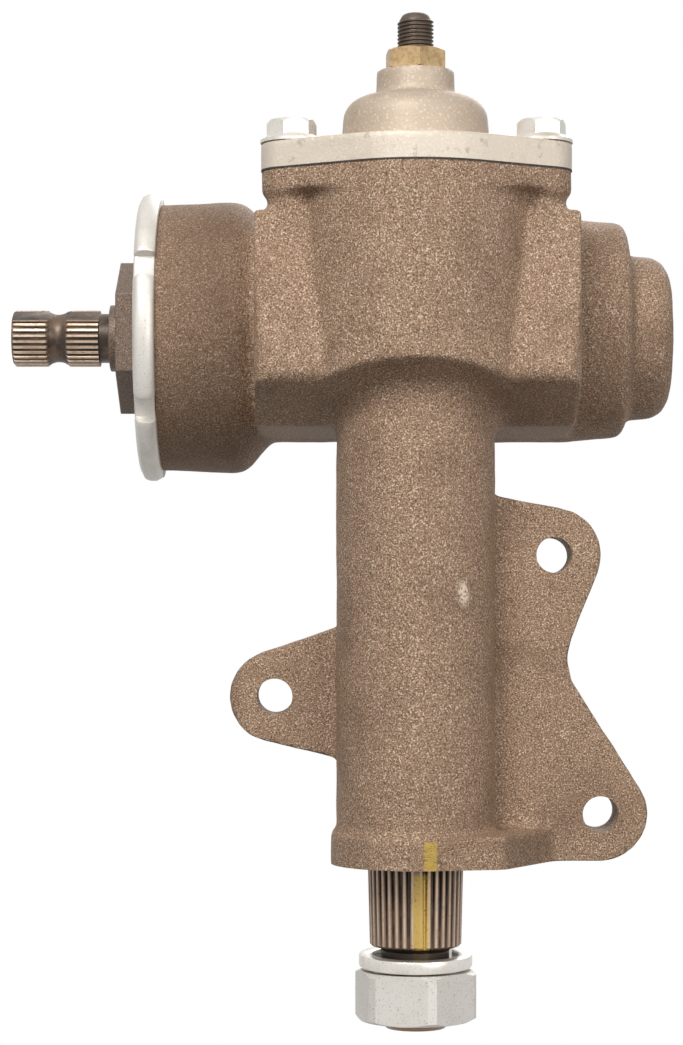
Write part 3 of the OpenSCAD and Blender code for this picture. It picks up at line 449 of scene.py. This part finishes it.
worm_low, worm_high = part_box("worm_shaft")
worm_middle = (worm_low + worm_high) / 2
shaft_steel, shader, place = new_material("rolled_serrations")
fine = place.noise(STEEL_SPOTS_PER_METRE, 3.0, 0.6)
patch = place.noise(SERRATION_STAINS_PER_METRE, 3.0, 0.6)
sideways = place.axis("Y") - worm_middle.y
upwards = place.axis("Z") - worm_middle.z
from_axis = (sideways * sideways + upwards * upwards).root()
crest = from_axis.rise(SERRATION_ROOT, SERRATION_TIP)
steel = crest.blend(STEEL_GRIME_AND_SHADE, STEEL_BRIGHT)
steel = (patch.rise(*STAIN_RANGE) * SERRATION_STAIN_SHARE).blend(steel, STEEL_BROWN)
steel = (fine.rise(*SERRATION_SPOT_RANGE) * SERRATION_SPOT_SHARE).blend(steel, STEEL_GRIME_AND_SHADE)
steel.into(shader, "Base Color")
(fine * STEEL_ROUGHNESS_SPREAD + SERRATION_ROUGHNESS).into(shader, "Roughness")
fine.bump(*STEEL_BUMP).into(shader, "Normal")
shader.inputs["Metallic"].default_value = SERRATION_METALLIC
worm = as_object("serrated_worm", merged_copy("worm_shaft"))
dress(worm, shaft_steel, "worm", "worm_shaft")

# Worm seal
# A moulded rubber lip seal pressed into the adjuster plug round the input shaft.
# Its lip keeps the oil in and only its outer face can be seen.
RUBBER_GREY = (0.05, 0.05, 0.05, 1)
RUBBER_BLACK = (0.03, 0.03, 0.03, 1)

rubber = worn_metal("seal_rubber", RUBBER_GREY, RUBBER_BLACK, roughness=0.6, metallic=0.0,
                    spots_per_metre=1200.0, depth=3e-5)
finish_nodes(rubber, "worm_seal")

# Adjuster plug
# A cast plug with a hexagon, screwed into the barrel to set the worm bearings.
# Its skin is dark and rough from the mould, with the hexagon's edges worn a little round.
PLUG_EDGE = 0.0004
CRISP = 14
PLUG_THREAD = 0.034
SHARP_EDGE = math.radians(30)
COPLANAR = math.radians(0.5)
PLUG_BROWN = (0.24, 0.165, 0.118, 1)
PLUG_PALE = (0.50, 0.40, 0.31, 1)
PLUG_DARK = (0.085, 0.058, 0.042, 1)
PLUG_GRAIN_RANGE = (0.36, 0.62)
PLUG_SPARK_RANGE = (0.58, 0.72)
PLUG_SPARK_SHARE = 0.8
PLUG_THREAD_FADE = 0.003
PLUG_THREAD_SHADE_SHARE = 0.85
PLUG_ROUGHNESS = 0.4
PLUG_ROUGHNESS_SPREAD = 0.25
PLUG_SPARK_RELIEF = 0.5
PLUG_BUMP = (0.5, 0.0002)
PLUG_METALLIC = 0.3


def broken_edges(shape, width):
    bmesh.ops.dissolve_limit(shape, angle_limit=COPLANAR, verts=shape.verts, edges=shape.edges)
    corners = [e for e in shape.edges if len(e.link_faces) == 2 and e.calc_face_angle() > SHARP_EDGE]
    bmesh.ops.bevel(shape, geom=corners, offset=width, offset_type="OFFSET", segments=2, profile=0.5,
                    affect="EDGES", clamp_overlap=True, material=-1)
    return shape


dark_plug, shader, place = new_material("dark_plug")
grain = place.noise(GRAINS_PER_METRE, 2.0, 0.6)
spark = place.noise(SPARKS_PER_METRE, 2.0, 0.6)
skin = grain.rise(*PLUG_GRAIN_RANGE).blend(PLUG_DARK, PLUG_BROWN)
skin = (spark.rise(*PLUG_SPARK_RANGE) * PLUG_SPARK_SHARE).blend(skin, PLUG_PALE)
sideways = place.axis("Y") - worm_middle.y
upwards = place.axis("Z") - worm_middle.z
from_axis = (sideways * sideways + upwards * upwards).root()
# Beyond the thread radius the plug is painted near-black: a painted shadow on the thread between hexagon
# and lock ring.
painted_thread_shade = from_axis.rise(PLUG_THREAD - PLUG_THREAD_FADE, PLUG_THREAD)
skin = (painted_thread_shade * PLUG_THREAD_SHADE_SHARE).blend(skin, STEEL_GRIME_AND_SHADE)
skin.into(shader, "Base Color")
(grain * PLUG_ROUGHNESS_SPREAD + PLUG_ROUGHNESS).into(shader, "Roughness")
(grain + spark * PLUG_SPARK_RELIEF).bump(*PLUG_BUMP).into(shader, "Normal")
shader.inputs["Metallic"].default_value = PLUG_METALLIC
plug = as_object("adjuster_plug", broken_edges(merged_copy("worm_bearing_adjuster"), PLUG_EDGE))
dress(plug, dark_plug, "housing", "worm_bearing_adjuster", CRISP)

# Lock ring
# A bright plated steel ring with six spanner notches, screwed on the plug against the barrel.
# It locks the bearing setting, and its plating is dulled and spotted.
RING_EDGE = 0.0005
ZINC_LIGHT = (0.72, 0.685, 0.63, 1)
ZINC_DULL = (0.52, 0.46, 0.39, 1)
ZINC_SPOT = (0.20, 0.165, 0.13, 1)
ZINC_SPOTS_PER_METRE = 1600.0
ZINC_SPOT_RANGE = (0.54, 0.72)
ZINC_PATCHES_PER_METRE = 90.0
ZINC_PATCH_RANGE = (0.42, 0.68)
SHADOW_FADE = 0.0006
ZINC_ROUGHNESS_SPREAD = 0.2
ZINC_BUMP = (0.35, 0.00005)


def zinc_plate(name, roughness, metallic, dull_share, spot_share, shadow_radius=0.0):
    material, shader, place = new_material(name)
    fine = place.noise(ZINC_SPOTS_PER_METRE, 3.0, 0.65)
    patch = place.noise(ZINC_PATCHES_PER_METRE, 4.0, 0.6)
    dull = (patch.rise(*ZINC_PATCH_RANGE) * dull_share).blend(ZINC_LIGHT, ZINC_DULL)
    plate = (fine.rise(*ZINC_SPOT_RANGE) * spot_share).blend(dull, ZINC_SPOT)
    # Near the bore, inside the given radius, the plate is painted dark: a painted shadow under the washer.
    if shadow_radius:
        across = place.axis("X")
        depth = place.axis("Y")
        from_axis = (across * across + depth * depth).root()
        clear_of_shadow = from_axis.rise(shadow_radius - SHADOW_FADE, shadow_radius)
        plate = clear_of_shadow.blend(STEEL_GRIME_AND_SHADE, plate)
    plate.into(shader, "Base Color")
    (fine * ZINC_ROUGHNESS_SPREAD + (roughness - ZINC_ROUGHNESS_SPREAD / 2)).into(shader, "Roughness")
    fine.bump(*ZINC_BUMP).into(shader, "Normal")
    shader.inputs["Metallic"].default_value = metallic
    return material


ring_zinc = zinc_plate("ring_zinc", roughness=0.45, metallic=0.4,
                       dull_share=0.3, spot_share=0.35)
ring = as_object("lock_ring", broken_edges(merged_copy("adjuster_lock_ring"), RING_EDGE))
dress(ring, ring_zinc, "housing", "adjuster_lock_ring")

# Pitman bushings and seal
# Sintered bronze bushings pressed into the tube carry the pitman shaft at both ends.
# A rubber lip seal in the rim closes the tube below them.
BRONZE_LIGHT = (0.68, 0.50, 0.28, 1)
BRONZE_DARK = (0.50, 0.34, 0.18, 1)

bronze = worn_metal("sintered_bronze", BRONZE_LIGHT, BRONZE_DARK, roughness=0.4, metallic=1.0,
                    spots_per_metre=1500.0, depth=3e-5)
finish_nodes(bronze, "pitman_bushings")
finish_nodes(rubber, "pitman_seal")

# Pitman shaft
# A forged steel shaft with a toothed sector inside the box and a tapered spline below the rim.
# The spline's valleys are darker than its teeth, and a stripe of yellow paint runs down its wide tooth.
# A painted highlight runs along the middle of each tooth, and the neck below the spline carries a painted
# shadow.
SPLINE_TIP = 0.0158
SPLINE_ROOT = 0.0152
SPLINE_TAPER = 0.026
SPLINE_TEETH = 36
SPLINE_END = -0.0268
SHAFT_MARK_MIDDLE = 0.0014
SHAFT_MARK_HALF = 0.0026
SHAFT_MARK_TOP = -0.0015
SHAFT_MARK_FADE = 0.002
SHAFT_MARK_WANDER = 0.002
SHAFT_MARK_SHARE = 0.9
SHAFT_FRONT = (-0.002, 0.0)
SHAFT_TIP = -0.0510
SHAFT_TIP_FADE = 0.001
SHAFT_TIP_SHARE = 0.85
SPLINE_END_FADE = 0.0006
NECK_SHADOW_SHARE = 0.92
TOOTH_HIGHLIGHT_RANGE = (0.35, 1.0)
SPLINE_STAINS_PER_METRE = 130.0
SPLINE_STAIN_SHARE = 0.4
SPLINE_SPOT_RANGE = (0.58, 0.72)
SPLINE_SPOT_SHARE = 0.5
SPLINE_ROUGHNESS = 0.32
SPLINE_METALLIC = 0.4
STEEL_COPPER = (0.34, 0.19, 0.11, 1)

spline_steel, shader, place = new_material("greased_spline")
fine = place.noise(STEEL_SPOTS_PER_METRE, 3.0, 0.6)
patch = place.noise(SPLINE_STAINS_PER_METRE, 3.0, 0.6)
across = place.axis("X")
depth = place.axis("Y")
height = place.axis("Z")
from_axis = (across * across + depth * depth).root() - height * SPLINE_TAPER
crest = from_axis.rise(SPLINE_ROOT, SPLINE_TIP)
around = across.math("ARCTAN2", depth, across)
# A painted highlight: the middle of each tooth is painted bright, turning brown towards its flanks.
painted_tooth_highlight = (0.0 - (around * SPLINE_TEETH).cosine()).rise(*TOOTH_HIGHLIGHT_RANGE)
steel = crest.blend(STEEL_GRIME_AND_SHADE, painted_tooth_highlight.blend(STEEL_BROWN, STEEL_BRIGHT))
steel = (patch.rise(*STAIN_RANGE) * SPLINE_STAIN_SHARE).blend(steel, STEEL_BROWN)
steel = (fine.rise(*SPLINE_SPOT_RANGE) * SPLINE_SPOT_SHARE).blend(steel, STEEL_GRIME_AND_SHADE)
off_mark = abs(across - SHAFT_MARK_MIDDLE + (patch - 0.5) * SHAFT_MARK_WANDER)
shaft_mark = 1.0 - off_mark.rise(SHAFT_MARK_HALF - MARK_EDGE, SHAFT_MARK_HALF + MARK_EDGE)
shaft_mark = shaft_mark * (1.0 - depth.rise(*SHAFT_FRONT))
shaft_mark = shaft_mark * (1.0 - height.rise(SHAFT_MARK_TOP - SHAFT_MARK_FADE, SHAFT_MARK_TOP))
steel = (shaft_mark * fine.rise(*PAINT_COVER) * SHAFT_MARK_SHARE).blend(steel, PAINT_YELLOW)
# Below the spline the neck is painted near-black: a painted shadow under the spline and washer.
painted_neck_shadow = 1.0 - height.rise(SPLINE_END - SPLINE_END_FADE, SPLINE_END)
steel = (painted_neck_shadow * NECK_SHADOW_SHARE).blend(steel, STEEL_GRIME_AND_SHADE)
shaft_tip = 1.0 - height.rise(SHAFT_TIP - SHAFT_TIP_FADE, SHAFT_TIP)
steel = (shaft_tip * SHAFT_TIP_SHARE).blend(steel, STEEL_COPPER)
steel.into(shader, "Base Color")
(fine * STEEL_ROUGHNESS_SPREAD + SPLINE_ROUGHNESS).into(shader, "Roughness")
fine.bump(*STEEL_BUMP).into(shader, "Normal")
shader.inputs["Metallic"].default_value = SPLINE_METALLIC
shaft = as_object("pitman_shaft", merged_copy("sector_shaft"))
dress(shaft, spline_steel, "pitman", "sector_shaft")

# Cover gasket
# A thin sheet of dark fibre cut to the outline of the cover.
# It is squeezed between the cover and the casting and shows as a dark line.
FIBRE_BROWN = (0.06, 0.05, 0.045, 1)
FIBRE_BLACK = (0.03, 0.025, 0.02, 1)

gasket_fibre = worn_metal("gasket_fibre", FIBRE_BROWN, FIBRE_BLACK, roughness=0.85, metallic=0.0,
                          spots_per_metre=1500.0, depth=5e-5)
finish_nodes(gasket_fibre, "side_cover_gasket")

# Side cover
# A sand-cast aluminium lid over the sector chamber with a dome and hub for the pitman journal.
# It is bolted down at three corners over the gasket, and a bronze bushing is pressed inside.
COVER_GRID = 0.0009
COVER_SMOOTHING = 4
COVER_BORE = 0.0215
COVER_EDGE_TOP = 0.2335
COVER_DOME_FOOT = 0.238
ALUMINIUM_PALE = (0.64, 0.555, 0.455, 1)
ALUMINIUM_TAN = (0.40, 0.30, 0.213, 1)
ALUMINIUM_GREY = (0.30, 0.235, 0.18, 1)
ALUMINIUM_WHITE = (0.82, 0.77, 0.69, 1)
COVER_GRAINS_PER_METRE = 1150.0
COVER_GRAIN_RANGE = (0.54, 0.70)
COVER_GRAIN_SHARE = 0.4
COVER_STAINS_PER_METRE = 70.0
COVER_STAIN_RANGE = (0.5, 0.75)
COVER_STAIN_SHARE = 0.3
COVER_SCUFFS_PER_METRE = 260.0
COVER_SCUFF_RANGE = (0.58, 0.72)
COVER_SCUFF_SHARE = 0.5
DOME_SHARE = 0.7
COVER_ROUGHNESS = 0.42
COVER_ROUGHNESS_SPREAD = 0.25
COVER_SCUFF_RELIEF = 0.6
COVER_BUMP = (0.5, 0.00022)
COVER_METALLIC = 0.2

cover_shape = merged_copy("side_cover")
cover_level = Vector((0, 0, gasket_high.z))
raise_flat(cover_shape, cover_level, DOWN, MACHINING_STOCK)
cover_shape = cast_in_sand(cover_shape, COVER_GRID, COVER_SMOOTHING)
flange = [f for f in cover_shape.faces if f.calc_center_median().xy.length > COVER_BORE]
cut_flat(cover_shape, flange, cover_level, DOWN)
cast_cover = as_object("cast_cover", cover_shape)

cast_aluminium, shader, place = new_material("cast_aluminium")
grain = place.noise(COVER_GRAINS_PER_METRE, 2.0, 0.6)
stain = place.noise(COVER_STAINS_PER_METRE, 4.0, 0.6)
scuff = place.noise(COVER_SCUFFS_PER_METRE, 3.0, 0.7)
dome = place.axis("Z").rise(COVER_EDGE_TOP, COVER_DOME_FOOT)
tan = dome * DOME_SHARE + stain.rise(*COVER_STAIN_RANGE) * COVER_STAIN_SHARE
skin = tan.blend(ALUMINIUM_PALE, ALUMINIUM_TAN)
skin = (grain.rise(*COVER_GRAIN_RANGE) * COVER_GRAIN_SHARE).blend(skin, ALUMINIUM_WHITE)
skin = (scuff.rise(*COVER_SCUFF_RANGE) * COVER_SCUFF_SHARE).blend(skin, ALUMINIUM_GREY)
skin.into(shader, "Base Color")
(grain * COVER_ROUGHNESS_SPREAD + COVER_ROUGHNESS).into(shader, "Roughness")
(grain + scuff * COVER_SCUFF_RELIEF).bump(*COVER_BUMP).into(shader, "Normal")
shader.inputs["Metallic"].default_value = COVER_METALLIC
dress(cast_cover, cast_aluminium, "housing", "side_cover")
finish_nodes(bronze, "side_cover_bushing")

# Lash screw
# A black steel screw hooked into the top of the pitman shaft, with a shim under its head.
# Its fine rolled thread runs up through the cover, and a slot in its end takes a screwdriver.
LASH_MAJOR = 0.0060
LASH_MINOR = 0.00535
LASH_PITCH = 0.00125
LASH_RUNOUT = 0.0026
THREAD_STEPS = 28
THREAD_ROOT_HALF = 0.46
THREAD_CREST_HALF = 0.08
THREAD_SINK = 0.00015
HIDDEN_STEP = 0.0012
LASH_TURN = math.radians(90)

jam_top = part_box("lash_lock_nut")[1].z
lash_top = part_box("lash_adjuster_screw")[1].z
thread_low = jam_top - HIDDEN_STEP / 2
lash_shape = merged_copy("lash_adjuster_screw")
bmesh.ops.rotate(lash_shape, verts=lash_shape.verts, cent=(0, 0, 0),
                 matrix=Matrix.Rotation(LASH_TURN, 3, "Z"))
for level in (jam_top - HIDDEN_STEP, thread_low):
    everything = list(lash_shape.verts) + list(lash_shape.edges) + list(lash_shape.faces)
    bmesh.ops.bisect_plane(lash_shape, geom=everything, dist=WELD, plane_co=(0, 0, level), plane_no=UP)
stud = [v for v in lash_shape.verts if v.co.z > thread_low - WELD]
core_share = LASH_MINOR / LASH_MAJOR
bmesh.ops.scale(lash_shape, verts=stud, vec=(core_share, core_share, 1))

thread_turns = (lash_top - LASH_RUNOUT - thread_low) / LASH_PITCH
root_radius = LASH_MINOR - THREAD_SINK
tooth = [(root_radius, -THREAD_ROOT_HALF), (LASH_MAJOR, -THREAD_CREST_HALF),
         (LASH_MAJOR, THREAD_CREST_HALF), (root_radius, THREAD_ROOT_HALF)]
start = [lash_shape.verts.new((r, 0, thread_low + z * LASH_PITCH)) for r, z in tooth]
outline = [lash_shape.edges.new((a, b)) for a, b in zip(start, start[1:] + start[:1])]
lash_shape.faces.new(start)
wound = bmesh.ops.spin(lash_shape, geom=start + outline, cent=(0, 0, 0), axis=(0, 0, 1),
                       dvec=(0, 0, LASH_PITCH / THREAD_STEPS), angle=math.tau * thread_turns,
                       steps=round(thread_turns * THREAD_STEPS), use_merge=False)["geom_last"]
lash_shape.faces.new([g for g in wound if isinstance(g, bmesh.types.BMVert)])
bmesh.ops.recalc_face_normals(lash_shape, faces=lash_shape.faces)
lash_screw = as_object("lash_stud", lash_shape)
dress(lash_screw, black_oxide, "housing", "lash_adjuster_screw")
finish_nodes(sheet_steel, "lash_shim")

# Jam nut
# A thin hexagon nut in yellow chromate plate that locks the lash screw on top of the hub.
# The plating has browned, and the corners are chamfered at both faces.
JAM_EDGE = 0.0003
JAM_GOLD = (0.56, 0.40, 0.20, 1)
JAM_BROWN = (0.27, 0.17, 0.085, 1)

yellow_plate = worn_metal("browned_chromate", JAM_GOLD, JAM_BROWN, roughness=0.42, metallic=0.6,
                          spots_per_metre=700.0, depth=5e-5)
jam_nut = as_object("jam_nut", broken_edges(merged_copy("lash_lock_nut"), JAM_EDGE))
dress(jam_nut, yellow_plate, "housing", "lash_lock_nut", CRISP)

# Cover bolts
# Three plated hexagon flange bolts that hold the cover down, their heads forged with a flared skirt.
# Each head stands at the angle at which it came up tight.
BOLT_EDGE = 0.0003
BOLT_TURN = math.radians(12)


def separate_solids(shape):
    left = set(shape.verts)
    while left:
        solid = [left.pop()]
        for vert in solid:
            near = {e.other_vert(vert) for e in vert.link_edges} & left
            left -= near
            solid.extend(near)
        yield solid


bolt_shape = merged_copy("cover_bolts")
for bolt in list(separate_solids(bolt_shape)):
    places = [v.co for v in bolt]
    middle = (Vector(map(min, *places)) + Vector(map(max, *places))) / 2
    bmesh.ops.rotate(bolt_shape, verts=bolt, cent=middle, matrix=Matrix.Rotation(BOLT_TURN, 3, "Z"))
bolt_zinc = zinc_plate("bolt_zinc", roughness=0.42, metallic=0.4,
                       dull_share=0.75, spot_share=0.4)
bolts = as_object("flange_bolts", broken_edges(bolt_shape, BOLT_EDGE))
dress(bolts, bolt_zinc, "housing", "cover_bolts", CRISP)

# Pitman lock washer
# A spring-steel split washer of square wire, plated, above the pitman nut.
# Its edges are rounded by the drawing of the wire, and it lies loose and a little tilted.
WASHER_EDGE = 0.0009
WASHER_INNER = 0.0142
WASHER_TILT = math.radians(2.2)
WASHER_LIFT = 0.0012

washer_zinc = zinc_plate("washer_zinc", roughness=0.34, metallic=0.8,
                         dull_share=0.5, spot_share=0.5)
washer_low, washer_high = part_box("pitman_lock_washer")
washer_shape = merged_copy("pitman_lock_washer")
inner_wall = [v for v in washer_shape.verts if v.co.xy.length < WASHER_INNER]
for vert in inner_wall:
    vert.co.xy *= WASHER_INNER / vert.co.xy.length
bmesh.ops.rotate(washer_shape, verts=washer_shape.verts, cent=(washer_low + washer_high) / 2,
                 matrix=Matrix.Rotation(WASHER_TILT, 3, "X"))
bmesh.ops.translate(washer_shape, verts=washer_shape.verts, vec=(0, 0, WASHER_LIFT))
washer = as_object("split_washer", broken_edges(washer_shape, WASHER_EDGE))
dress(washer, washer_zinc, "pitman", "pitman_lock_washer")

# Pitman nut
# A plated hexagon nut on the threaded end of the pitman shaft, chamfered at both faces.
# Its faces are bright with fine grey specks, and a painted shadow darkens the face round its bore, under
# the washer.
NUT_EDGE = 0.0003
# Radius of the painted shadow round the nut's bore.
NUT_SHADOW_RADIUS = 0.0152
NUT_TURN = math.radians(-28)

nut_shape = merged_copy("pitman_nut")
bmesh.ops.rotate(nut_shape, verts=nut_shape.verts, cent=(0, 0, 0), matrix=Matrix.Rotation(NUT_TURN, 3, "Z"))
nut_zinc = zinc_plate("nut_zinc", roughness=0.45, metallic=0.3,
                      dull_share=0.2, spot_share=0.6, shadow_radius=NUT_SHADOW_RADIUS)
nut = as_object("pitman_hex_nut", broken_edges(nut_shape, NUT_EDGE))
dress(nut, nut_zinc, "pitman", "pitman_nut", CRISP)

# Stage
# A pale board well below the hanging gearbox, a white surround and large soft lamps from the front.
# The camera stands level with a point low on the tube, as in the photograph.
FLOOR_DROP = 0.12
FLOOR_HALF = 0.65
FLOOR_GREY = (0.2, 0.2, 0.2, 1)
FLOOR_GLOW = 0.82
FLOOR_ROUGHNESS = 0.9
WHITE = (1, 1, 1, 1)
BLACK = (0, 0, 0, 1)
AMBIENT = 0.13
PHOTO_WIDTH = 683
PHOTO_HEIGHT = 1045
FOCAL_PIXELS = 2700
AXIS_PIXEL = (345, 600)
CAMERA_PLACE = (-0.02327, -0.891, 0.0868)
LAMP_AIM = (-0.02, 0, 0.12)

camera = bpy.data.cameras.new("photo_camera")
camera.lens = camera.sensor_width * FOCAL_PIXELS / PHOTO_HEIGHT
camera.shift_x = (PHOTO_WIDTH / 2 - AXIS_PIXEL[0]) / PHOTO_HEIGHT
camera.shift_y = (AXIS_PIXEL[1] - PHOTO_HEIGHT / 2) / PHOTO_HEIGHT
viewer = bpy.data.objects.new("photo_camera", camera)
viewer.location = CAMERA_PLACE
viewer.rotation_euler = (math.pi / 2, 0, 0)
bpy.context.scene.collection.objects.link(viewer)
bpy.context.scene.camera = viewer


def lamp(name, watts, size, place):
    light = bpy.data.lights.new(name, "AREA")
    light.energy = watts
    light.shape = "DISK"
    light.size = size
    made = bpy.data.objects.new(name, light)
    made.location = place
    made.rotation_euler = (Vector(LAMP_AIM) - Vector(place)).to_track_quat("-Z", "Y").to_euler()
    bpy.context.scene.collection.objects.link(made)


lamp("key_softbox", watts=14.5, size=0.6, place=(-0.35, -0.95, 0.95))
lamp("fill_softbox", watts=10, size=0.9, place=(0.95, -1.3, 0.5))
lamp("back_softbox", watts=9, size=1.0, place=(0.3, 1.4, 1.0))


def seen_directly(tree):
    path = tree.nodes.new("ShaderNodeLightPath")
    seen = Wire(tree, path.outputs["Is Camera Ray"]) + Wire(tree, path.outputs["Is Glossy Ray"])
    return (seen + Wire(tree, path.outputs["Is Transmission Ray"])).rise(0.0, 1.0)


world = bpy.data.worlds.new("white_studio")
bpy.context.scene.world = world
world.use_nodes = True
sky = world.node_tree
ambient = sky.nodes["Background"]
ambient.inputs["Color"].default_value = WHITE
ambient.inputs["Strength"].default_value = AMBIENT
surround = sky.nodes.new("ShaderNodeBackground")
surround.inputs["Color"].default_value = WHITE
surround.inputs["Strength"].default_value = 1.0
mix = sky.nodes.new("ShaderNodeMixShader")
seen_directly(sky).into(mix, 0)
sky.links.new(ambient.outputs[0], mix.inputs[1])
sky.links.new(surround.outputs[0], mix.inputs[2])
sky.links.new(mix.outputs[0], sky.nodes["World Output"].inputs["Surface"])

floor_shape = bmesh.new()
bmesh.ops.create_grid(floor_shape, x_segments=1, y_segments=1, size=FLOOR_HALF)
bmesh.ops.translate(floor_shape, verts=floor_shape.verts, vec=(0, 0, cad_box[0][2] - FLOOR_DROP))
floor = as_object("studio_floor", floor_shape)
floor_paint, shader, place = new_material("floor_paint")
shader.inputs["Base Color"].default_value = FLOOR_GREY
shader.inputs["Roughness"].default_value = FLOOR_ROUGHNESS
shader.inputs["Emission Strength"].default_value = 1.0
glow = (FLOOR_GLOW, FLOOR_GLOW, FLOOR_GLOW, 1)
seen_directly(floor_paint.node_tree).blend(BLACK, glow).into(shader, "Emission Color")
floor.data.materials.append(floor_paint)

bpy.context.scene.view_settings.view_transform = "Standard"
